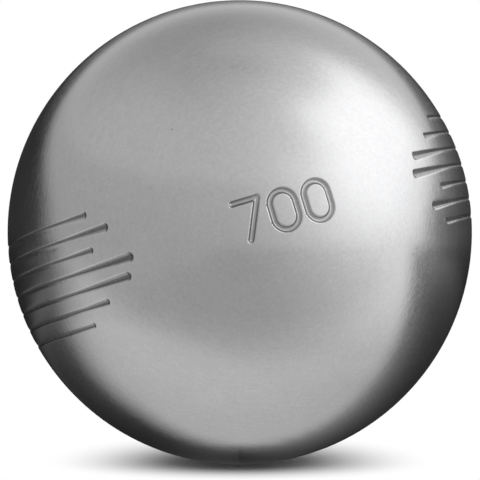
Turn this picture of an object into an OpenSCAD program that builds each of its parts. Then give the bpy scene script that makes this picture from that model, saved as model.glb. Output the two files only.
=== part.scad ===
// A hollow steel playing ball: two forged half shells joined by a butt weld,
// with a band of tapered V grooves round each side.
// The origin is the ball's centre and +Z is up, with the ball lying as it does in use.

/* [Ball] */
// Outside diameter of the ball
ball_d = 74; // [70.5:0.1:80]
// Thickness of the forged wall
wall_t = 6.2; // [5:0.1:7.5]

/* [Weld] */
// Square face left at the inside of each bevelled rim
root_face = 1.5; // [0.8:0.1:2.5]
// Gap between the two rims, which the weld fills
root_gap = 1; // [0.4:0.1:2]
// Included angle of the two bevelled rims
bevel_angle = 60; // [40:1:75]
// Height of the weld bead inside the ball
bead_rise = 0.8; // [0.3:0.1:1.5]
// How far that bead laps each shell
bead_lap = 1.2; // [0.6:0.1:2]

/* [Grooves] */
// Distance from one groove to the next
groove_pitch = 2.75; // [2:0.05:3.4]
// Width of a groove where it crosses the side of the ball
groove_w = 0.55; // [0.4:0.05:1]
// Included angle between a groove's flanks
groove_angle = 106; // [90:1:120]
// How far the cut of the wide ends is eccentric to the ball, towards its side
end_offset = 1.7; // [1.3:0.1:2.4]
// Angle from the middle of the side, towards the wide end, to which that offset points
end_lean = 4; // [0:1:8]
// How far the rounded tip of a wide end is sunk below the end's bottom
tip_sink = 0.06; // [0.03:0.01:0.12]

/* [Attitude] */
// Turns of the ball about X, Y and Z, from grooves lying level and facing the front
attitude = [-9.5, -15, 13]; // [-90:0.5:90]

/* [Hidden] */
$fn = 120;

// Angle from the middle of the ball's front to the front end of each groove, highest groove first
front_end_angles = [48.5, 43, 48.5, 38.5, 40.5, 48.5, 55.5];
// A groove's back end is the front end of the groove that lies opposite it in this list
groove_count = len(front_end_angles);
// Quarter turn between the middle of the front and the middle of a side
quarter_turn = 90;
// Depth of the eccentric cut, as a share of the groove's own depth, at which it starts
end_start_share = 0.5;
// How far cutters stand out of the surface that they cut
overrun = 0.3;

ball_r = ball_d / 2;
cavity_r = ball_r - wall_t;
root_r = cavity_r + root_face;
rim_h = root_gap / 2;
cutter_r = ball_r + overrun;
bevel_h = rim_h + (cutter_r - root_r) * tan(bevel_angle / 2);

bead_half_w = rim_h + bead_lap;
bead_edge_x = sqrt(pow(cavity_r, 2) - pow(bead_half_w, 2));
bead_top_x = cavity_r - bead_rise;
bead_x = (pow(cavity_r, 2) - pow(bead_top_x, 2)) / (2 * (bead_edge_x - bead_top_x));

flank_slope = tan(groove_angle / 2);
groove_depth = groove_w / (2 * flank_slope);
// Angle from the offset's own direction at which the eccentric cut has its starting depth
end_start = acos(1 - end_start_share * groove_depth / end_offset);

function groove_z(k) = groove_pitch * ((groove_count - 1) / 2 - k);
// Radius of the ball's surface at that height
function groove_r(k) = sqrt(pow(ball_r, 2) - pow(groove_z(k), 2));
// Angles from the middle of the side to the groove's two ends
function front_reach(k) = quarter_turn - front_end_angles[k];
function back_reach(k) = quarter_turn - front_end_angles[groove_count - 1 - k];
// The same direction seen from the centre of the eccentric cut, whose radius is r
function seen_from_offset(angle, r) = angle + asin(end_offset * sin(angle) / r);
// Distance from that centre to a point of the surface, where the surface's radius is r
function offset_reach(angle, r) =
    sqrt(pow(r, 2) + pow(end_offset, 2) - 2 * r * end_offset * cos(angle));

// Half outline of a hollow ball, to the right of its axis
module wall_outline() {
    difference() {
        intersection() {
            circle(ball_r);
            translate([0, -cutter_r]) square([cutter_r, 2 * cutter_r]);
        }
        circle(cavity_r);
    }
}

// The space between the two bevelled rims, as wide all round as the weld that fills it
module rim_gap_outline() {
    polygon([
        [0, -rim_h], [root_r, -rim_h], [cutter_r, -bevel_h],
        [cutter_r, bevel_h], [root_r, rim_h], [0, rim_h]
    ]);
}

module shell_body() {
    rotate_extrude() difference() {
        wall_outline();
        rim_gap_outline();
        translate([0, -cutter_r]) square([cutter_r, cutter_r]);
    }
}

module weld_body() {
    rotate_extrude() {
        intersection() {
            wall_outline();
            rim_gap_outline();
        }
        intersection() {
            circle(cavity_r);
            translate([bead_x, 0]) circle(bead_x - bead_top_x);
        }
    }
}

// The V that a groove has in section, with its bottom at from_r
module v_outline(from_r, to_r) {
    half_w = (to_r - from_r) * flank_slope;
    polygon([[from_r, 0], [to_r, -half_w], [to_r, half_w]]);
}

// The narrow run of a groove, which has one depth all the way
module groove_run(k) {
    rotate_extrude(angle = front_reach(k) + back_reach(k), start = -back_reach(k))
        v_outline(groove_r(k) - groove_depth, groove_r(k) + overrun);
}

// One end of a groove, cut off centre so that it deepens and widens up to a rounded tip
module groove_end(k, reach) {
    turn = reach - end_lean;
    bottom_r = groove_r(k) - end_offset;
    top_r = offset_reach(turn, groove_r(k)) + overrun;
    first = seen_from_offset(end_start, bottom_r);
    last = seen_from_offset(turn, bottom_r);
    tip_h = top_r - bottom_r + tip_sink;
    rotate([0, 0, end_lean]) translate([end_offset, 0]) {
        rotate_extrude(angle = last - first, start = first) v_outline(bottom_r, top_r);
        rotate([0, 0, last]) translate([bottom_r - tip_sink, 0]) rotate([0, quarter_turn, 0])
            cylinder(h = tip_h, r1 = 0, r2 = tip_h * flank_slope);
    }
}

// The band of grooves round the +X side, with the wide ends towards +Y, -Y or both
module side_grooves(plus_ends, minus_ends) {
    for (k = [0:groove_count - 1]) translate([0, 0, groove_z(k)]) {
        groove_run(k);
        if (plus_ends) groove_end(k, front_reach(k));
        if (minus_ends) mirror([0, 1, 0]) groove_end(k, back_reach(k));
    }
}

// Both bands, the second being the first after half a turn, with the wide ends asked for
module all_grooves(front_ends, back_ends) {
    rotate([0, 0, 2 * quarter_turn]) side_grooves(front_ends, back_ends);
    side_grooves(back_ends, front_ends);
}

// A piece of the ball turned to face the front, grooved, and laid as the ball lies
module laid_and_grooved(front_ends, back_ends) {
    rotate(attitude) difference() {
        rotate([quarter_turn, 0, 0]) children();
        all_grooves(front_ends, back_ends);
    }
}

module front_shell() {
    color([0.67, 0.67, 0.68]) laid_and_grooved(true, false) shell_body();
}

module rear_shell() {
    color([0.60, 0.60, 0.62]) laid_and_grooved(false, true) mirror([0, 0, 1]) shell_body();
}

module weld_seam() {
    color([0.53, 0.53, 0.55]) laid_and_grooved(false, false) weld_body();
}

front_shell();
rear_shell();
weld_seam();
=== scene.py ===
import math

import bmesh
import bpy
import numpy as np
from mathutils import Euler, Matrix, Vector


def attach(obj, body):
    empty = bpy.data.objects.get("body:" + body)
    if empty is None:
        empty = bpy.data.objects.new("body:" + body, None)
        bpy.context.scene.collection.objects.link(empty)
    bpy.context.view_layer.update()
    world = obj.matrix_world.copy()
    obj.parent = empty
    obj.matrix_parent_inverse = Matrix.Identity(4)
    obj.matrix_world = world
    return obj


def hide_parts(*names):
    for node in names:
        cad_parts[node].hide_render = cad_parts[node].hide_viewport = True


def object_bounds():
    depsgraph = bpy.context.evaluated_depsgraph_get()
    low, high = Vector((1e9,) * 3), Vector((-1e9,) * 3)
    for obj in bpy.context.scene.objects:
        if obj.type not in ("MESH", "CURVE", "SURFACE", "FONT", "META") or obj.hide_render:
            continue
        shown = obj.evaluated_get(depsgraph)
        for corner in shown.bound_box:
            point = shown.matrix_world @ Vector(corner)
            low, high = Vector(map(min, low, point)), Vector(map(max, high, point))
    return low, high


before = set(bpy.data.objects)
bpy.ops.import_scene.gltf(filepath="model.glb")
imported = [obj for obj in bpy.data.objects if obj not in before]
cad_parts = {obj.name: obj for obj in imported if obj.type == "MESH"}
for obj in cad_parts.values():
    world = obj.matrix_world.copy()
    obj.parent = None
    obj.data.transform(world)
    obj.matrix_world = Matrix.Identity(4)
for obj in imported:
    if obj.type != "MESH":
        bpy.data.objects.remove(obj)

cadLow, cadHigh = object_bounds()
mm = 0.001

# Sizes are in millimetres and degrees. The ball is worked out lying level, its front towards -Y
# and its grooves round the Z axis, and is then turned to lie as it does in use.

ball = {
    "radius": min(abs(side) for corner in (cadLow, cadHigh) for side in corner) / mm,
    "wall": 6.2,
    "attitude": (-9.5, -15, 13),
    "capStep": 2.0,          # degrees between the rows above and below the grooves
    "columnSamples": 20001,  # points at which the closeness of the columns is summed up
    "cavityRows": 24,
    "sharpFrom": 35,         # degrees between two faces from which their edge stays sharp
}

seam = {
    "rootFace": 1.5,
    "rootGap": 1.0,
    "bevelAngle": 60,
    "beadRise": 0.8,
    "beadLap": 1.2,
    "bandPoints": 15,        # points across the ground band
    "beadPoints": 9,
    "levelOver": 10,         # above the grooves, the height over which its rows come to meet
}

grooves = {
    "pitch": 2.75,
    "width": 0.7,
    "flankAngle": 51,
    "sideAngle": 68,         # the same at the side of the ball, where the polishing wore them flatter
    "flatterFrom": (58, 78),
    "endOffsets": (2.1, 1.8),  # how far the cutter's circle is off centre at left and right ends
    "endLean": 4,            # and where it is off to: degrees from the side towards the wide end
    "frontEnds": (48.5, 43, 48.5, 38.5, 40.5, 48.5, 55.5),
    "leftBack": 0.3,         # degrees by which the wider left ends stop sooner
    "edgeRounding": 0.07,
    "edgeWidth": 0.1,        # how far from an edge the painted highlight reaches
    "bottomRounding": 0.03,
    "lineWidth": 0.07,       # how far the painted shade line at a V's bottom reaches to each side
    "endWall": 0.12,         # how far past its tip's centre a groove's blunt end takes painted shade
    "endShade": 0.75,
    "bandLimit": 10.0,
    "columnStep": 1.1,
    "tipStep": 0.12,
    "tipZone": (1.7, 0.6),   # degrees before and past a tip that have close columns
    "seamStep": 0.25,
    "seamZone": 2,
    "shoulderRows": (0.26, 0.1),   # where rows stand beside a groove's edge
    "innerRows": (0.1, 0.035),     # and beside its bottom line
    "evenFrom": 33,          # degrees from the middle at which the rows begin to leave the grooves
    "evenOver": 17,
}

mark = {
    "height": 5.9,
    "width": 3.9,
    "spacing": 5.4,
    "footShare": 0.35,       # of half the width: how far left of its middle the seven's foot is
    "stroke": 1.05,
    "depth": 0.42,
    "edgeRounding": 0.08,
    "edgeWidth": 0.08,
    "zone": 3.75,            # half height of the rows that crowd over the figures
    "zoneShare": 0.76,
    "halfTurn": 13.0,        # degrees to each side that its close columns reach
    "step": 0.1,
}

radius = ball["radius"]
cavityRadius = radius - ball["wall"]
rootRadius = cavityRadius + seam["rootFace"]
rimHeight = seam["rootGap"] / 2
bevelSlope = math.tan(math.radians(seam["bevelAngle"] / 2))
grooveCount = len(grooves["frontEnds"])
grooveLevels = [grooves["pitch"] * ((grooveCount - 1) / 2 - number) for number in range(grooveCount)]

# Where the bevel's straight line meets the round surface
bevelStart = rimHeight - rootRadius * bevelSlope
seamEdge = bevelStart + bevelSlope * (
    math.sqrt(bevelStart ** 2 * bevelSlope ** 2 + (1 + bevelSlope ** 2) * (radius ** 2 - bevelStart ** 2))
    - bevelStart * bevelSlope) / (1 + bevelSlope ** 2)


def smoothStep(value):
    # 3 t squared minus 2 t cubed, with t held between 0 and 1
    held = np.clip(value, 0, 1)
    return held * held * (3 - 2 * held)


def smoothMin(first, second, rounding):
    # the lower of the two, drawn down a little where they are closer than the rounding
    near = np.maximum(rounding - np.abs(first - second), 0) / rounding
    return np.minimum(first, second) - near * near * rounding / 4


def surfaceRadius(level):
    # distance of the round surface from the Z axis: the root of R squared minus z squared
    return np.sqrt(np.maximum(radius ** 2 - np.asarray(level, float) ** 2, 0))


def flankSlope(turn):
    # tangent of the angle between a flank and the groove's middle plane
    flatFrom, flatTo = grooves["flatterFrom"]
    flatter = smoothStep((np.degrees(np.abs(turn)) - flatFrom) / (flatTo - flatFrom))
    opened = (grooves["sideAngle"] - grooves["flankAngle"]) * flatter
    return np.tan(np.radians(grooves["flankAngle"] + opened))


def grooveBottom(turn, tip, level):
    # the run keeps one depth; the wide end is a circle off centre by the offset, whose distance
    # from the axis is offset * cos + root of (circle radius squared - (offset * sin) squared),
    # at the angle from the offset's direction, and it starts only past that direction
    surface = surfaceRadius(level)
    run = surface - grooves["width"] / (2 * flankSlope(turn))
    offset = np.where(turn < 0, *grooves["endOffsets"])
    circle = surface - offset
    fromSide = np.pi / 2 - np.maximum(np.abs(turn), tip)
    angle = np.maximum(fromSide - math.radians(grooves["endLean"]), 0)
    end = offset * np.cos(angle) + np.sqrt(circle ** 2 - (offset * np.sin(angle)) ** 2)
    return np.minimum(run, end)


def tipAngle(turn, number):
    # a groove ends at its own angle on the left and at that of the groove opposite on the right
    ends = np.radians(grooves["frontEnds"])
    return np.where(turn < 0, ends[number] + math.radians(grooves["leftBack"]), ends[-1 - number])


def grooved(turn, level):
    # radius of the cut surface: the lowest of the round surface and all the V cuts, whose flanks
    # rise from the bottom with the distance from its line, or from the groove's tip past its end
    surface = surfaceRadius(level)
    lowest = surface.copy()
    edge = np.zeros_like(surface)
    floor = np.zeros_like(surface)
    for number, grooveLevel in enumerate(grooveLevels):
        tip = tipAngle(turn, number)
        bottom = grooveBottom(turn, tip, grooveLevel)
        past = np.maximum(tip - np.abs(turn), 0) * surfaceRadius(grooveLevel)
        away = np.sqrt((level - grooveLevel) ** 2 + past ** 2 + grooves["bottomRounding"] ** 2)
        cut = bottom + away / flankSlope(turn)
        lowest = smoothMin(lowest, cut, grooves["edgeRounding"])
        edge = np.maximum(edge, np.exp(-((cut - surface) / grooves["edgeWidth"]) ** 2))
        # painted shade: a dark line along each V's bottom and over its blunt end
        line = np.exp(-(away / grooves["lineWidth"]) ** 2)
        endWall = grooves["endShade"] * smoothStep(past / grooves["endWall"])
        floor = np.maximum(floor, np.maximum(line, endWall) * (cut < surface))
    return lowest, edge, floor


def strokeDistance(across, up, start, end):
    # distance from a straight stroke's middle line
    runX, runY = end[0] - start[0], end[1] - start[1]
    along = ((across - start[0]) * runX + (up - start[1]) * runY) / (runX ** 2 + runY ** 2)
    along = np.clip(along, 0, 1)
    return np.hypot(across - start[0] - along * runX, up - start[1] - along * runY)


def seven(across, up):
    # a bar along the top and a slanting stroke down from its right end
    halfWidth, halfHeight = mark["width"] / 2, mark["height"] / 2
    bar = strokeDistance(across, up, (-halfWidth, halfHeight), (halfWidth, halfHeight))
    foot = (-halfWidth * mark["footShare"], -halfHeight)
    slant = strokeDistance(across, up, (halfWidth, halfHeight), foot)
    return np.minimum(bar, slant)


def nought(across, up):
    # a ring with straight sides and round ends
    halfWidth, halfHeight = mark["width"] / 2, mark["height"] / 2
    straight = np.maximum(np.abs(up) - (halfHeight - halfWidth), 0)
    return np.abs(np.hypot(across, straight) - halfWidth)


def engraved(turn, level, lowest):
    # the weight in grams: round-bottomed strokes, as deep as 1 minus the square of the distance
    # from their middle over half their width
    surface = surfaceRadius(level)
    across = turn * radius
    nearest = np.full_like(surface, np.inf)
    for place, figure in enumerate((seven, nought, nought)):
        nearest = np.minimum(nearest, figure(across - (place - 1) * mark["spacing"], level))
    share = np.minimum(nearest / (mark["stroke"] / 2), 4)
    cut = surface - mark["depth"] * (1 - share ** 2)
    edge = np.exp(-((cut - surface) / mark["edgeWidth"]) ** 2)
    return smoothMin(lowest, cut, mark["edgeRounding"]), edge


def shellColumns(withMark):
    # angles from the middle of the shell to its rim, closer together where the mark, the tips of
    # the grooves and the rim are: the columns stand at equal steps of the summed-up closeness
    rim = math.acos(seamEdge / radius)
    fine = np.linspace(-rim, rim, ball["columnSamples"])
    turned = np.degrees(np.abs(fine))
    step = np.full_like(fine, grooves["columnStep"])
    before, past = grooves["tipZone"]
    for tip in grooves["frontEnds"]:
        step = np.where((turned > tip - before) & (turned < tip + past), grooves["tipStep"], step)
    if withMark:
        step = np.where(turned < mark["halfTurn"], mark["step"], step)
    step = np.where(turned > math.degrees(rim) - grooves["seamZone"], grooves["seamStep"], step)
    between = (1 / step[1:] + 1 / step[:-1]) / 2
    closeness = np.concatenate([[0], np.cumsum(between * np.diff(fine) * radius)])
    count = int(closeness[-1]) + 1
    return np.interp(np.linspace(0, closeness[-1], count), closeness, fine)


def grooveRows(turn):
    # levels of the rows through the grooves for each column: fifteen rows follow each groove
    # from shoulder to shoulder, and two lie between it and the next
    limit = grooves["bandLimit"]
    rows = [np.full_like(turn, -limit)]
    for number in reversed(range(grooveCount)):
        level = grooveLevels[number]
        tip = tipAngle(turn, number)
        bottom = grooveBottom(turn, tip, level)
        half = (surfaceRadius(level) - bottom) * flankSlope(turn)
        far, near = grooves["shoulderRows"]
        steps = [half + far, half + near, half, half - near, half / 2]
        steps += [inner + 0 * half for inner in grooves["innerRows"]]
        below, above = [level - step for step in steps], [level + step for step in steps[::-1]]
        band = below + [level + 0 * half] + above
        if number < grooveCount - 1:
            rows += [rows[-1] + (band[0] - rows[-1]) * share for share in (1 / 3, 2 / 3)]
        rows += band
    return np.stack(rows + [np.full_like(turn, limit)])


def shellRows(turn, withMark):
    # the grooves' rows turn into the mark's rows towards the middle of the shell, and the caps
    # have a row every two degrees up to the two points where the rim crosses the Z axis
    following = grooveRows(turn)
    limit = grooves["bandLimit"]
    count = len(following)
    if withMark:
        outside = (1 - mark["zoneShare"]) / 2
        even = np.interp(np.linspace(0, 1, count), [0, outside, 1 - outside, 1],
                         [-limit, -mark["zone"], mark["zone"], limit])
    else:
        even = np.linspace(-limit, limit, count)
    middle = smoothStep((grooves["evenFrom"] - np.degrees(np.abs(turn))) / grooves["evenOver"])
    band = following * (1 - middle) + even[:, None] * middle
    start, end = math.asin(limit / radius), math.asin(math.sqrt(radius ** 2 - seamEdge ** 2) / radius)
    steps = int(round(math.degrees(end - start) / ball["capStep"]))
    cap = radius * np.sin(np.linspace(start, end, steps + 1)[1:, None]) * np.ones_like(turn)
    return np.concatenate([-cap[::-1], band, cap])


def stitched(ids):
    # four-sided faces between neighbours in a grid of point numbers; where two corners are the
    # same point, as at a pole, the face has three sides
    corners = np.stack([ids[:-1, :-1], ids[:-1, 1:], ids[1:, 1:], ids[1:, :-1]], -1).reshape(-1, 4)
    lowPole = corners[:, 0] == corners[:, 1]
    highPole = corners[:, 2] == corners[:, 3]
    whole = corners[~lowPole & ~highPole].tolist()
    return whole + corners[lowPole][:, [0, 2, 3]].tolist() + corners[highPole][:, :3].tolist()


def ringed(around, radiusAndLevel):
    # a ring round the Y axis through the same directions as the points given
    direction = around[:, [0, 2]] / np.hypot(around[:, 0], around[:, 2])[:, None]
    distance, level = radiusAndLevel
    levels = np.full(len(around), level)
    return np.stack([direction[:, 0] * distance, levels, direction[:, 1] * distance], 1)


def rimLoop(grid):
    # once round the rim: up its right side and down its left
    return np.concatenate([grid[:, -1], grid[::-1, 0][1:-1]])


def polishedPiece(name, points, faces, values, node):
    # makes the mesh, lays it as the ball lies, and hands it to the frame
    turned = np.array(Euler([math.radians(angle) for angle in ball["attitude"]]).to_matrix())
    mesh = bpy.data.meshes.new(name)
    mesh.from_pydata((points @ turned.T * mm).tolist(), [], faces)
    for title, column in zip(("cutDepth", "cutEdge", "cutFloor"), values.T.astype(np.float32)):
        mesh.attributes.new(title, "FLOAT", "POINT").data.foreach_set("value", column)
    work = bmesh.new()
    work.from_mesh(mesh)
    bmesh.ops.recalc_face_normals(work, faces=work.faces)
    work.to_mesh(mesh)
    work.free()
    mesh.shade_smooth()
    mesh.set_sharp_from_angle(angle=math.radians(ball["sharpFrom"]))
    piece = bpy.data.objects.new(name, mesh)
    bpy.context.scene.collection.objects.link(piece)
    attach(piece, "root")
    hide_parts(node)
    print(name, "has", sum(len(face) - 2 for face in faces), "triangles")
    return piece


def shellPiece(name, facing, withMark, node):
    # outer surface: rows of one level and columns of one share of the rim's angle at that level,
    # then the bevel, the root face and the round cavity as rings down to its pole
    columns = shellColumns(withMark)
    level = shellRows(columns, withMark)
    share = columns / math.acos(seamEdge / radius)
    turn = share * np.arccos(np.clip(seamEdge / surfaceRadius(level), -1, 1))
    lowest, edge, floor = grooved(turn, level)
    if withMark:
        lowest, markEdge = engraved(turn, level, lowest)
        edge = np.maximum(edge, markEdge)
    cut = surfaceRadius(level) - lowest
    outer = np.stack([lowest * np.sin(turn), -lowest * np.cos(turn), level], -1)

    rows, across = level.shape
    ids = np.arange(rows * across).reshape(rows, across)
    inside = (rows - 2) * across
    ids = ids - across
    ids[0], ids[-1] = inside, inside + 1
    points = [outer[1:-1].reshape(-1, 3), outer[0, :1], outer[-1, :1]]
    values = [np.stack([cut, edge, floor], -1)[1:-1].reshape(-1, 3), np.zeros((2, 3))]
    faces = stitched(ids)

    rim = rimLoop(outer)
    rimIds = rimLoop(ids)
    count = len(rim)
    root = ringed(rim, (rootRadius, -rimHeight))
    rings = [rim + (root - rim) * part for part in (1 / 3, 2 / 3)] + [root]
    lastAngle = math.acos(rimHeight / cavityRadius)
    for angle in np.linspace(lastAngle, 0, ball["cavityRows"] + 1)[:-1]:
        rings.append(ringed(rim, (cavityRadius * math.sin(angle), -cavityRadius * math.cos(angle))))
    first = inside + 2
    ringIds = first + np.arange(len(rings) * count).reshape(len(rings), count)
    inner = np.concatenate([rimIds[None], ringIds, np.full((1, count), first + len(rings) * count)])
    faces += stitched(np.concatenate([inner, inner[:, :1]], 1))
    points += rings + [np.array([[0, -cavityRadius, 0]])]
    values.append(np.zeros((len(rings) * count + 1, 3)))
    points, values = np.concatenate(points), np.concatenate(values)
    points[:, :2] *= -facing      # the rear shell is the front one after half a turn about Z
    return polishedPiece(name, points, faces, values, node), outer


def weldPiece(name, shellGrid):
    # a ring whose rows run on from the shells': the ground band follows the round surface with
    # the grooves' runs across it, then come the bevels, the root and the bead inside
    level = rimLoop(shellGrid)[:, 2]
    side = np.sign(np.round(rimLoop(shellGrid)[:, 0], 9))
    height = seamEdge * np.sin(np.linspace(-np.pi / 2, np.pi / 2, seam["bandPoints"]))
    tops = np.sqrt(radius ** 2 - height ** 2) / math.sqrt(radius ** 2 - seamEdge ** 2)
    follow = smoothStep((np.abs(level) - grooves["bandLimit"]) / seam["levelOver"])
    levels = level * (1 + follow * (tops[:, None] - 1))
    surface = np.maximum(surfaceRadius(levels), 1e-6)
    turn = np.arccos(np.clip(-height[:, None] / surface, -1, 1))
    lowest, edge, floor = grooved(turn, levels)
    cut = surfaceRadius(levels) - lowest
    band = np.stack([side * lowest * np.sin(turn), -lowest * np.cos(turn), levels], -1)
    band[:, side == 0, 0] = 0
    band[:, side == 0, 1] = height[:, None]
    around = band[0]

    lapHalf = rimHeight + seam["beadLap"]
    lapRadius = math.sqrt(cavityRadius ** 2 - lapHalf ** 2)
    topRadius = cavityRadius - seam["beadRise"]
    beadCentre = (cavityRadius ** 2 - topRadius ** 2) / (2 * (lapRadius - topRadius))
    beadRadius = beadCentre - topRadius
    swing = math.asin(lapHalf / beadRadius)
    inner = [(rootRadius, rimHeight), (math.sqrt(cavityRadius ** 2 - rimHeight ** 2), rimHeight)]
    inner += [(beadCentre - beadRadius * math.cos(angle), beadRadius * math.sin(angle))
              for angle in np.linspace(swing, -swing, seam["beadPoints"])]
    inner += [(distance, -height) for distance, height in inner[1::-1]]
    rings = [ringed(around, place) for place in inner]
    points = np.concatenate([band, np.stack(rings)])
    rows, count = points.shape[:2]
    ids = np.arange(rows * count).reshape(rows, count)
    ids = np.concatenate([ids, ids[:1]])
    faces = stitched(np.concatenate([ids, ids[:, :1]], 1))
    values = np.zeros((rows, count, 3))
    values[:len(band)] = np.stack([cut, edge, floor], -1)
    points, values = points.reshape(-1, 3), values.reshape(-1, 3)
    return polishedPiece(name, points, faces, values, "weld_seam")


class Wire:
    # one socket of a node tree; sums, differences, products and ratios of wires add Math nodes
    def __init__(self, tree, socket=None):
        self.tree = tree
        self.socket = socket

    def node(self, kind, settings, inputs, output=0):
        made = self.tree.nodes.new(kind)
        for title, value in settings.items():
            setattr(made, title, value)
        for title, value in inputs.items():
            if isinstance(value, Wire):
                self.tree.links.new(value.socket, made.inputs[title])
            else:
                made.inputs[title].default_value = value
        return Wire(self.tree, made.outputs[output] if made.outputs else None)

    def math(self, operation, first, second=0.0, clamp=False):
        settings = {"operation": operation, "use_clamp": clamp}
        return self.node("ShaderNodeMath", settings, {0: first, 1: second})

    def __add__(self, other):
        return self.math("ADD", self, other)

    def __radd__(self, other):
        return self.math("ADD", other, self)

    def __sub__(self, other):
        return self.math("SUBTRACT", self, other)

    def __rsub__(self, other):
        return self.math("SUBTRACT", other, self)

    def __mul__(self, other):
        return self.math("MULTIPLY", self, other)

    def __rmul__(self, other):
        return self.math("MULTIPLY", other, self)

    def held(self):
        # limited to between 0 and 1
        return self.math("ADD", self, 0.0, True)

    def ramp(self, low, high):
        # 0 up to low, 1 from high, and a smooth rise between them
        return self.node("ShaderNodeMapRange", {"interpolation_type": "SMOOTHSTEP"},
                         {"Value": self, "From Min": low, "From Max": high})


def emptyTree(owner):
    # a cleared node tree, as a wire to build on
    owner.use_nodes = True
    owner.node_tree.nodes.clear()
    return Wire(owner.node_tree)


shellSteel = {
    "name": "shell_steel",
    "tone": (0.385, 0.385, 0.39),
    "tonePlay": 0.1,
    "roughness": 0.165,
    "roughnessPlay": 0.1,
    "cutShade": 0.18,
    "cutSide": 0.22,         # less of that painted shade to the right, more to the left
    "cutPlay": 0.35,
    "bump": 0.6,
}

weldMetal = {
    "name": "weld_metal",
    "tone": (0.38, 0.38, 0.386),
    "tonePlay": 0.12,
    "roughness": 0.175,
    "roughnessPlay": 0.11,
    "cutShade": 0.18,
    "cutSide": 0.22,         # less of that painted shade to the right, more to the left
    "cutPlay": 0.35,
    "bump": 0.7,
}

polish = {
    "ringAround": 13.0,      # fine marks of the turning that finished the ball: features in a
    "ringAcross": 210.0,     # radian of its turn, and in a radian from front to back
    "streakAround": 14.0,    # and the broader marks among them
    "streakAcross": 74.0,
    "ringFrom": (8, 40),     # degrees from the middle of the front between which they set in
    "beltTurns": ((12, 4, 28), (70, 15, -38), (-25, 62, 80)),
    "beltAlong": 170.0,      # crossing marks of the belts: features in each metre
    "beltAcross": 2600.0,
    "patchFrom": ((0.44, 0.56), (0.46, 0.54)),
    "scratchFrom": (0.66, 0.76),
    "patch": 70.0,
    "speckle": 2300.0,
    "mottle": 800.0,
    "wave": 230.0,
    "broad": 60.0,
    "cutAround": 26.0,       # marks that run along the grooves, inside them
    "cutAcross": 9000.0,
    "relief": 0.02 * mm,
    "pitGap": 300.0,
    "pitSize": (0.025, 0.06),      # shares of that scale's cells
    "pitChance": (0.93, 0.95),
    "cutFrom": (0.03, 0.14),       # depths between which a cut has its own surface
    "turningAtFront": 0.25,        # shares of the marks left in the middle of the front
    "streaksAtFront": 0.15,
    "crossingAtFront": 0.85,
    "crossingAtSide": 0.5,
    "height": {"turning": 0.25, "crossing": 0.35, "speckle": 0.12, "mottle": 0.3, "wave": 0.6,
               "lines": 0.1, "pits": 0.8, "scratches": 0.08},
    "grain": {"speckle": 1.9, "mottle": 0.7, "wave": 0.45, "broad": 0.5},
    "edgeBright": 0.03,
    "floorShade": 0.5,
    "pitDark": 0.4,
    "cutRough": 0.1,
    "floorRough": 0.1,
    "pitRough": 0.2,
}


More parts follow.
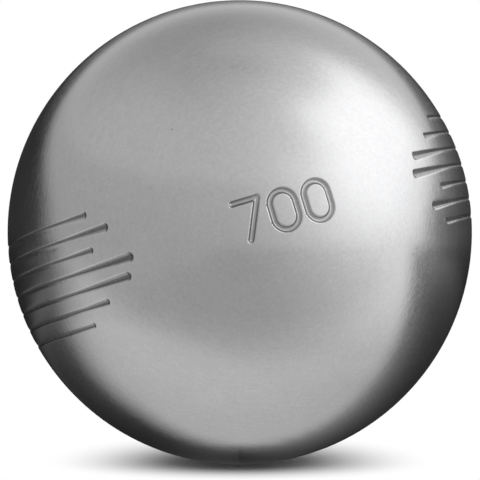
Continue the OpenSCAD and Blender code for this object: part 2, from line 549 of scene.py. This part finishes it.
def polishedSteel(look):
    # satin steel: fine turning marks round the ball's front to back line, belt marks that take
    # turns in patches, a faint mottle, a few pits, and cuts that are rougher inside, with painted
    # shade inside them and along their bottom line and a painted highlight on their edges
    material = bpy.data.materials.new(look["name"])
    wire = emptyTree(material)
    place = wire.node("ShaderNodeTexCoord", {}, {}, "Object")
    laid = wire.node("ShaderNodeMapping", {"vector_type": "TEXTURE"},
                     {"Vector": place, "Rotation": [math.radians(angle) for angle in ball["attitude"]]})

    def noise(vector, scale, detail, roughness=0.5):
        sockets = {"Vector": vector, "Scale": scale, "Detail": detail, "Roughness": roughness}
        return wire.node("ShaderNodeTexNoise", {}, sockets, "Fac")

    def stretched(vector, amounts):
        return wire.node("ShaderNodeVectorMath", {"operation": "MULTIPLY"}, {0: vector, 1: amounts})

    def joined(first, second):
        return wire.node("ShaderNodeVectorMath", {"operation": "ADD"}, {0: first, 1: second})

    def unit(vector):
        return wire.node("ShaderNodeVectorMath", {"operation": "NORMALIZE"}, {0: vector})

    def parts(vector, kind="ShaderNodeSeparateXYZ", title="Vector"):
        split = wire.node(kind, {}, {title: vector})
        return [Wire(wire.tree, socket) for socket in split.socket.node.outputs]

    # rings: the angle from the front middle, and a unit arrow away from the front to back line
    forward = parts(unit(laid))[1] * -1
    fromFront = forward.math("ARCCOSINE", forward)
    level = wire.node("ShaderNodeCombineXYZ", {}, {"Y": fromFront * polish["ringAcross"]})
    arrow = unit(stretched(laid, (1, 0, 1)))
    rings = noise(joined(stretched(arrow, (polish["ringAround"],) * 3), level), 1.0, 3.0, 0.62)
    broadLevel = wire.node("ShaderNodeCombineXYZ", {}, {"Y": fromFront * polish["streakAcross"]})
    streaks = noise(joined(stretched(arrow, (polish["streakAround"],) * 3), broadLevel), 1.0, 2.0, 0.6)
    setIn = fromFront.ramp(*[math.radians(angle) for angle in polish["ringFrom"]])

    # belts: three directions that take turns in patches
    patch = wire.node("ShaderNodeTexNoise", {},
                      {"Vector": place, "Scale": polish["patch"], "Detail": 1.0}, "Color")
    patches = parts(patch, "ShaderNodeSeparateColor", "Color")
    belts = []
    for turn in polish["beltTurns"]:
        aligned = wire.node("ShaderNodeMapping", {"vector_type": "TEXTURE"},
                            {"Vector": place, "Rotation": [math.radians(angle) for angle in turn]})
        amounts = (polish["beltAlong"], polish["beltAcross"], polish["beltAcross"])
        belts.append(noise(stretched(aligned, amounts), 1.0, 3.0, 0.6))
    firstPatch, secondPatch = (channel.ramp(*ends) for channel, ends in zip(patches, polish["patchFrom"]))
    belt = belts[0] * firstPatch + belts[1] * (1 - firstPatch)
    belt = belt * secondPatch + belts[2] * (1 - secondPatch)

    # inside the grooves: lines along them
    height = wire.node("ShaderNodeCombineXYZ", {}, {"Z": parts(laid)[2] * polish["cutAcross"]})
    around = unit(stretched(laid, (1, 1, 0)))
    lines = noise(joined(stretched(around, (polish["cutAround"],) * 3), height), 1.0, 2.0, 0.6)

    fields = {title: noise(place, polish[title], 2.0) for title in polish["grain"]}
    spread = {"Vector": place, "Scale": polish["pitGap"]}
    cells = wire.node("ShaderNodeTexVoronoi", {}, spread, "Distance")
    cellColour = wire.node("ShaderNodeTexVoronoi", {}, spread, "Color")
    chance = parts(cellColour, "ShaderNodeSeparateColor", "Color")[0]
    pits = (1 - cells.ramp(*polish["pitSize"])) * chance.ramp(*polish["pitChance"])

    depth = wire.node("ShaderNodeAttribute", {"attribute_name": "cutDepth"}, {}, "Fac")
    edge = wire.node("ShaderNodeAttribute", {"attribute_name": "cutEdge"}, {}, "Fac")
    floor = wire.node("ShaderNodeAttribute", {"attribute_name": "cutFloor"}, {}, "Fac")
    cut = depth.ramp(*polish["cutFrom"])
    # painted highlight along the edges of the cuts and of the mark's strokes
    edgeHighlight = edge * (1 - cut)

    scratches = belt.ramp(*polish["scratchFrom"])
    turning = (rings - 0.5) * (setIn * (1 - polish["turningAtFront"]) + polish["turningAtFront"])
    streaking = (streaks - 0.5) * (setIn * (1 - polish["streaksAtFront"]) + polish["streaksAtFront"])
    lessCrossing = polish["crossingAtFront"] - polish["crossingAtSide"]
    crossing = (belt - 0.5) * (polish["crossingAtFront"] - setIn * lessCrossing)
    marks = (turning + streaking + crossing) * (1 - cut)
    grain = marks
    for title, weight in polish["grain"].items():
        grain = grain + (fields[title] - 0.5) * weight
    # painted shade inside the cuts, which darkens their colour more to the left than to the right
    toRight = parts(laid)[0] * (1 / (radius * mm))
    insideShade = look["cutShade"] - toRight * look["cutSide"]
    inside = 1 - cut * (0.5 - lines) * look["cutPlay"] - cut * insideShade
    shade = (grain * look["tonePlay"] + 1 + edgeHighlight * polish["edgeBright"]) * inside
    # painted shade along the cuts' bottom lines and blunt ends, and darker pits
    shade = shade * (1 - floor * polish["floorShade"]) * (1 - pits * polish["pitDark"])
    colour = wire.node("ShaderNodeVectorMath", {"operation": "SCALE"}, {0: look["tone"], "Scale": shade})
    rough = grain * look["roughnessPlay"] + look["roughness"] + cut * polish["cutRough"]
    rough = rough + floor * polish["floorRough"] + pits * polish["pitRough"]
    weights = polish["height"]
    relief = (streaking + turning * weights["turning"] + crossing * weights["crossing"]) * (1 - cut)
    for title in ("speckle", "mottle", "wave"):
        relief = relief + fields[title] * weights[title]
    relief = relief + lines * cut * weights["lines"] - pits * weights["pits"]
    relief = relief - scratches * (1 - cut) * weights["scratches"]
    bump = wire.node("ShaderNodeBump", {},
                     {"Strength": look["bump"], "Distance": polish["relief"], "Height": relief})
    shader = wire.node("ShaderNodeBsdfPrincipled", {},
                       {"Base Color": colour, "Metallic": 1.0, "Roughness": rough.held(), "Normal": bump})
    wire.node("ShaderNodeOutputMaterial", {}, {"Surface": shader})
    return material


room = {
    "floorSpan": 4.0,
    "floorColour": (0.94, 0.94, 0.94),
    "whiteFrom": (0.25, 0.86),  # radii beside the contact between which the camera's floor turns white
    "frontShare": 1.48,       # how much sooner it does so in front of the ball
    "backShare": 0.87,        # and how much later behind it
    "skyOnFloor": 0.8,
    "boxFrom": (60, 76),      # degrees round the ball, and up
    "boxAway": 450,
    "boxSize": (400, 220),
    "boxGlow": 2.5,
}

# What the polished ball reflects: a white tent that is a little dim low down, with a big soft box,
# brighter cloth round it and a dark curtain behind. Directions are degrees round the ball, 0
# towards the viewer and growing to the right, and degrees up. The values of the tent, the curtain
# and the table were first fitted to the photo's tones by a program and then rounded.
tent = {
    "away": 560,
    "step": 2,
    "upFrom": -12,
    "lowGlow": 0.62,
    "highGlow": 0.75,
    "rise": (22, 31),
    "topDim": 0.16,
    "topFrom": (50, 75),
    "panels": (
        {"around": -166, "up": 50, "half": (31, 16), "sharpness": 2, "glow": -0.34},
        {"around": 50, "up": 33, "half": (170, 68), "sharpness": 2, "glow": 0.3},
        {"around": 85, "up": 69, "half": (46, 13), "sharpness": 2, "glow": 0.37},
        {"around": 73, "up": 19, "half": (35, 27), "sharpness": 2, "glow": 1.5},
    ),
    "box": {"around": 87.5, "up": 39.5, "half": (29, 19), "sharpness": 4, "glow": 2.5},
}

# it ends where (degrees from straight behind / half) ^ power + (degrees up / height) ^ power is
# about 1, lets some light through near its right edge and is thinner high up behind the ball
curtain = {
    "left": {"half": 95, "power": 2, "height": 31, "from": 0.44, "to": 0.81,
             "leak": 0.28, "reach": 22, "lowShare": 1.0},
    "right": {"half": 88, "power": 1.9, "height": 25.5, "from": 0.62, "to": 1.1,
              "leak": 3.1, "reach": 19, "lowShare": 0.37},
    "lowUpTo": 17,
    "glow": 0.026,
    "thinHalf": 22,
    "thinFrom": (10, 18),
    "thinGlow": 0.29,
}

# and the table under it, in ball radii from the contact, across to the right and back: past a
# line just before the contact it is dark, a painted shadow of the ball that far off runs into the
# curtain's dark, with some light past it, and a few soft shines stand in that dark
table = {
    "reach": 16,
    "rings": 90,
    "spokes": 240,
    "below": 0.02,            # millimetres below the ball, so that the two don't touch
    "glow": 0.86,
    "dip": 0.11,
    "dipOver": (1.05, 1.35),
    "leftDipOver": (1.9, 2.1),
    "rightGlow": 1.15,
    "rightPower": 2,
    "leftGlow": 0.08,
    "leftFrom": 1.05,
    "leftOver": 2.5,
    "spot": {"across": -0.85, "back": -1.0, "half": (4, 0.5), "glow": 0.28},
    "lineAt": -0.415,
    "right": {"soft": 0.09, "leak": 0.44, "over": 1.6, "turn": 10.3, "under": 0.0},
    "left": {"bendAt": 4.4, "farSlope": 0.21, "lineAt": -0.55, "slope": 0.26, "curve": -0.05,
             "soft": 0.2, "leak": 1.2, "over": 5.3, "turn": 13.5, "under": 0.12},
    "rightFirst": 0.8,        # the leak beside the contact, on the right
    "firstOver": 0.5,         # radii to each side over which that comes on
    "shines": (
        {"across": 5.7, "back": 0.8, "half": (2.6, 3.0), "glow": 0.27},
        {"across": -2.6, "back": 1.0, "half": (1.2, 0.6), "glow": 0.11},
        {"across": -7.5, "back": 1.7, "half": (2.3, 0.8), "glow": -0.12},
    ),
    "turnRounding": 0.2,
    "underTurn": 8,
    "farFrom": 5,
    "farOver": 8,
    "softness": 0.04,         # half the line's width at the middle
    "softMost": 0.75,         # and its most, far out
    "darkGlow": 0.017,
    "nearGlow": 0.07,
    "nearReach": 0.2,
}


def bearing(around, up):
    # a direction from the ball: around is 0 towards the viewer and grows to the right
    aroundAngle, upAngle = np.radians(around), np.radians(up)
    return np.stack([np.cos(upAngle) * np.sin(aroundAngle), -np.cos(upAngle) * np.cos(aroundAngle),
                     np.sin(upAngle) + 0 * aroundAngle], -1)


def panelShare(around, up, look):
    # 1 in the panel's middle and a half at its edges: 2 to the power of minus the distance
    across = np.abs((around - look["around"] + 180) % 360 - 180)
    across = across * np.sqrt(np.clip(np.cos(np.radians(up)), 0, 1))
    steps = (across / look["half"][0], np.abs(up - look["up"]) / look["half"][1])
    return 2.0 ** -(steps[0] ** look["sharpness"] + steps[1] ** look["sharpness"])


def curtainLeak(beside, onLeft):
    # light through the curtain, which fades away from its edge
    half, reach, leak = (np.where(onLeft, curtain["left"][name], curtain["right"][name])
                         for name in ("half", "reach", "leak"))
    return leak * np.exp(-np.maximum(half - beside, 0) / reach)


def tentGlow(around, up):
    # cloth that is brighter higher up, plus the panels, less the dimming at the top; then the soft
    # box and the curtain take its place, each by its share
    rise = smoothStep((up - tent["rise"][0]) / (tent["rise"][1] - tent["rise"][0]))
    glow = tent["lowGlow"] + (tent["highGlow"] - tent["lowGlow"]) * rise
    for look in tent["panels"]:
        glow = glow + look["glow"] * panelShare(around, up, look)
    topFrom, topTo = tent["topFrom"]
    glow = glow - tent["topDim"] * smoothStep((up - topFrom) / (topTo - topFrom))
    box = panelShare(around, up, tent["box"])
    glow = glow * (1 - box) + tent["box"]["glow"] * box
    behind = (around + 360) % 360 - 180
    beside = np.abs(behind)

    def side(title):
        return np.where(behind > 0, curtain["left"][title], curtain["right"][title])

    out = (beside / side("half")) ** side("power") + (np.maximum(up, 0) / side("height")) ** side("power")
    dark = 1 - smoothStep((out - side("from")) / (side("to") - side("from")))
    lowLeak = side("lowShare")
    lowLeak = lowLeak + (1 - lowLeak) * smoothStep(up / curtain["lowUpTo"])
    leak = curtainLeak(beside, behind > 0) * lowLeak
    thinFrom, thinTo = curtain["thinFrom"]
    thin = np.exp(-(beside / curtain["thinHalf"]) ** 2)
    thin = thin * smoothStep((up - thinFrom) / (thinTo - thinFrom))
    through = curtain["glow"] + leak + curtain["thinGlow"] * thin
    return glow * (1 - dark) + through * dark


def softSpot(across, back, look):
    # its glow times e to the power of minus the squared distance from its middle
    acrossHalf, backHalf = look["half"]
    steps = ((across - look["across"]) / acrossHalf) ** 2 + ((back - look["back"]) / backHalf) ** 2
    return look["glow"] * np.exp(-steps)


def tableGlow(across, back):
    # bright near the ball and to the right
    distance = np.hypot(across, back)
    right, left = np.maximum(across, 0), np.maximum(-across, 0)
    leftShare = left / np.maximum(distance, 1e-6)
    dipFrom, dipTo = (plain + (late - plain) * leftShare
                      for plain, late in zip(table["dipOver"], table["leftDipOver"]))
    glow = table["glow"] - table["dip"] * smoothStep((distance - dipFrom) / (dipTo - dipFrom))
    share = right / np.maximum(distance, 1e-6)
    glow = glow + table["rightGlow"] * (1 - 1 / np.maximum(distance, 1)) * share ** table["rightPower"]
    glow = glow + table["leftGlow"] * smoothStep((left - table["leftFrom"]) / table["leftOver"])
    glow = glow + softSpot(across, back, table["spot"])

    # painted shadow of the ball past the line, but for what leaks past it at the sides, which comes
    # to be the curtain's own leak far off, the shines and some painted light close to the contact
    def side(title):
        return np.where(across > 0, table["right"][title], table["left"][title])

    onLeft = table["left"]
    nearLeft = np.minimum(left, onLeft["bendAt"])
    leftLine = onLeft["lineAt"] + onLeft["slope"] * nearLeft + onLeft["curve"] * nearLeft ** 2
    leftLine = np.maximum(table["lineAt"], leftLine) + onLeft["farSlope"] * (left - nearLeft)
    line = np.where(across > 0, table["lineAt"], leftLine)
    half = np.minimum(table["softness"] + side("soft") * np.abs(across), table["softMost"])
    dark = smoothStep((back - line + half) / (2 * half))
    turned = np.degrees(np.arctan2(np.maximum(back - line, 0), np.abs(across) + table["turnRounding"]))
    first = table["rightFirst"] * smoothStep(across / (2 * table["firstOver"]) + 0.5)
    leak = side("leak") + (first - side("leak")) * np.exp(-np.abs(across) / side("over"))
    leak = leak * np.exp(-turned / side("turn"))
    leak = leak * (1 - side("under") * np.exp(-turned / table["underTurn"]))
    beside = 180 - np.degrees(np.arctan2(np.abs(across), -back))
    lowLeak = np.where(across > 0, curtain["right"]["lowShare"], curtain["left"]["lowShare"])
    farLeak = curtainLeak(beside, across <= 0) * lowLeak
    leak = leak + (farLeak - leak) * smoothStep((distance - table["farFrom"]) / table["farOver"])
    for shine in table["shines"]:
        leak = leak + softSpot(across, back, shine)
    near = table["nearGlow"] * np.exp(-(distance / table["nearReach"]) ** 2)
    through = table["darkGlow"] + leak + near
    return glow * (1 - dark) + through * dark


def stagePiece(name, points, faces, material):
    # a mesh that belongs to the room and not to the part
    mesh = bpy.data.meshes.new(name)
    mesh.from_pydata(points, [], faces)
    mesh.materials.append(material)
    mesh.shade_smooth()
    piece = bpy.data.objects.new(name, mesh)
    bpy.context.scene.collection.objects.link(piece)
    return piece


def reflectedOnly(name, points, glow):
    # a grid of points with a glow at each, which is seen in polished metal alone
    material = bpy.data.materials.new(name)
    wire = emptyTree(material)
    tone = wire.node("ShaderNodeAttribute", {"attribute_name": "glow"}, {}, "Color")
    shader = wire.node("ShaderNodeEmission", {}, {"Color": tone, "Strength": 1.0})
    wire.node("ShaderNodeOutputMaterial", {}, {"Surface": shader})
    ids = np.arange(glow.size).reshape(glow.shape)
    piece = stagePiece(name, (points.reshape(-1, 3) * mm).tolist(), stitched(ids), material)
    attribute = piece.data.attributes.new("glow", "FLOAT", "POINT")
    attribute.data.foreach_set("value", glow.reshape(-1).astype(np.float32))
    piece.visible_camera = False
    piece.visible_diffuse = False
    piece.visible_transmission = False
    piece.visible_volume_scatter = False
    piece.visible_shadow = False
    return piece


def pitchTent():
    turns, heights = np.arange(-180, 181, tent["step"]), np.arange(tent["upFrom"], 91, tent["step"])
    around, up = np.meshgrid(turns, heights)
    return reflectedOnly("soft_tent", bearing(around, up) * tent["away"], tentGlow(around, up))


def layTable():
    # rings that stand closer together near the ball
    angle, out = np.meshgrid(np.linspace(0, 2 * np.pi, table["spokes"] + 1),
                             np.linspace(0, 1, table["rings"] + 1))
    distance = table["reach"] * out ** 2
    across, back = distance * np.sin(angle), distance * np.cos(angle)
    points = np.stack([across * radius, back * radius, 0 * across - radius - table["below"]], -1)
    return reflectedOnly("table_glow", points, tableGlow(across, back))


def layFloor():
    # pale floor with the ball's own shadow, which is plain white to the camera away from the ball
    material = bpy.data.materials.new("pale_floor")
    wire = emptyTree(material)
    place = wire.node("ShaderNodeTexCoord", {}, {}, "Object")
    multiply = {"operation": "MULTIPLY"}
    behind = wire.node("ShaderNodeVectorMath", multiply, {0: place, 1: (1, room["backShare"], 0)})
    before = wire.node("ShaderNodeVectorMath", multiply, {0: place, 1: (-1, -room["frontShare"], 0)})
    further = wire.node("ShaderNodeVectorMath", {"operation": "MAXIMUM"}, {0: behind, 1: before})
    away = wire.node("ShaderNodeVectorMath", {"operation": "LENGTH"}, {0: further}, "Value")
    toCamera = wire.node("ShaderNodeLightPath", {}, {}, "Is Camera Ray")
    matt = wire.node("ShaderNodeBsdfDiffuse", {}, {"Color": (*room["floorColour"], 1)})
    plain = wire.node("ShaderNodeEmission", {}, {"Color": (1, 1, 1, 1), "Strength": 1.0})
    low, high = (share * radius * mm for share in room["whiteFrom"])
    shader = wire.node("ShaderNodeMixShader", {}, {0: toCamera * away.ramp(low, high), 1: matt, 2: plain})
    wire.node("ShaderNodeOutputMaterial", {}, {"Surface": shader})
    half = room["floorSpan"] / 2
    corners = [(-half, -half, 0), (half, -half, 0), (half, half, 0), (-half, half, 0)]
    piece = stagePiece("pale_floor", corners, [(0, 1, 2, 3)], material)
    piece.location.z = -radius * mm
    piece.visible_glossy = False
    return piece


def hangSoftBox():
    # one large soft lamp overhead, which gives the shadow; the tent is what the ball reflects
    lamp = bpy.data.lights.new("soft_box", "AREA")
    lamp.shape = "RECTANGLE"
    lamp.size, lamp.size_y = (side * mm for side in room["boxSize"])
    lamp.energy = room["boxGlow"] * math.pi * lamp.size * lamp.size_y
    box = bpy.data.objects.new("soft_box", lamp)
    bpy.context.scene.collection.objects.link(box)
    place = Vector(bearing(*room["boxFrom"]).tolist()) * room["boxAway"] * mm
    box.location = place
    box.rotation_euler = (-place).to_track_quat("-Z", "Y").to_euler()
    box.visible_camera = False
    box.visible_glossy = False
    return box


def fillTheSky():
    # white to the camera and in reflections, and a plain soft light on everything else
    world = bpy.data.worlds.new("studio")
    bpy.context.scene.world = world
    wire = emptyTree(world)
    seen = wire.node("ShaderNodeLightPath", {}, {}, "Is Camera Ray")
    seen = seen + wire.node("ShaderNodeLightPath", {}, {}, "Is Glossy Ray")
    seen = (seen + wire.node("ShaderNodeLightPath", {}, {}, "Is Transmission Ray")).held()
    level = room["skyOnFloor"] + seen * (1 - room["skyOnFloor"])
    shader = wire.node("ShaderNodeBackground", {}, {"Color": (1, 1, 1, 1), "Strength": level})
    wire.node("ShaderNodeOutputWorld", {}, {"Surface": shader})


viewpoint = {
    "away": 518,
    "up": 4,
    "lens": 243.3,
    "sensor": 36,
    "aim": (0.04, 0, -1.22),
}


def placeCamera():
    # in front of the ball, at its distance times the cosine and sine of how far up it stands
    camera = bpy.data.objects.new("camera", bpy.data.cameras.new("camera"))
    bpy.context.scene.collection.objects.link(camera)
    camera.data.lens = viewpoint["lens"]
    camera.data.sensor_width = viewpoint["sensor"]
    up = math.radians(viewpoint["up"])
    camera.location = Vector((0, -math.cos(up), math.sin(up))) * viewpoint["away"] * mm
    sight = Vector(viewpoint["aim"]) * mm - camera.location
    camera.rotation_euler = sight.to_track_quat("-Z", "Y").to_euler()
    bpy.context.scene.camera = camera


frontShell, frontGrid = shellPiece("front_shell_finished", -1, True, "front_shell")
rearShell, rearGrid = shellPiece("rear_shell_finished", 1, False, "rear_shell")
weldRing = weldPiece("weld_ring_finished", rearGrid)
steel = polishedSteel(shellSteel)
for piece in (frontShell, rearShell):
    piece.data.materials.append(steel)
weldRing.data.materials.append(polishedSteel(weldMetal))
print("ball made")

layFloor()
layTable()
pitchTent()
hangSoftBox()
fillTheSky()
placeCamera()
bpy.context.scene.view_settings.view_transform = "Standard"
print("room and camera set")
